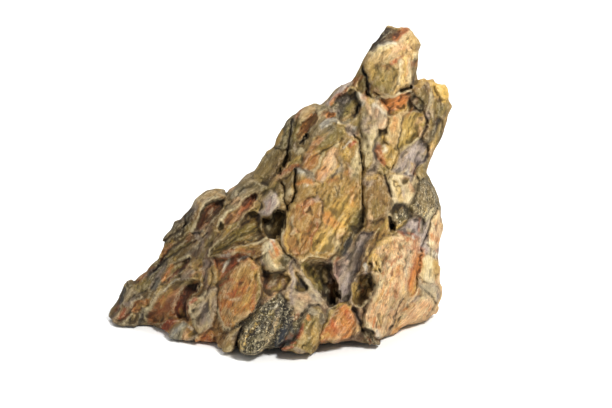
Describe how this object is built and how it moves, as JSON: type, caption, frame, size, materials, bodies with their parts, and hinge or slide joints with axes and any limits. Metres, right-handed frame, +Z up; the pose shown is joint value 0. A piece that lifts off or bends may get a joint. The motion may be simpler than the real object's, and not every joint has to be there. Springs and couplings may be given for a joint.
{
  "type": "dragon stone",
  "caption": "Wedge-shaped clay aquascaping stone with leaf-shaped slabs, scooped hollows and small caves, standing on a flat underside.",
  "frame": {"origin": "on the ground under the middle of the stone's bounding box", "axes": "+X to the right along the stone's width as seen from its front, +Y to the back, +Z up"},
  "size_m": [0.2786, 0.1712, 0.2472],
  "materials": {
    "weathered_clay": "dry, matt, weathered clay in ochre, cream, rust and lilac grey"
  },
  "bodies": {
    "root": {"dragon_stone": "weathered_clay"}
  },
  "joints": []
}
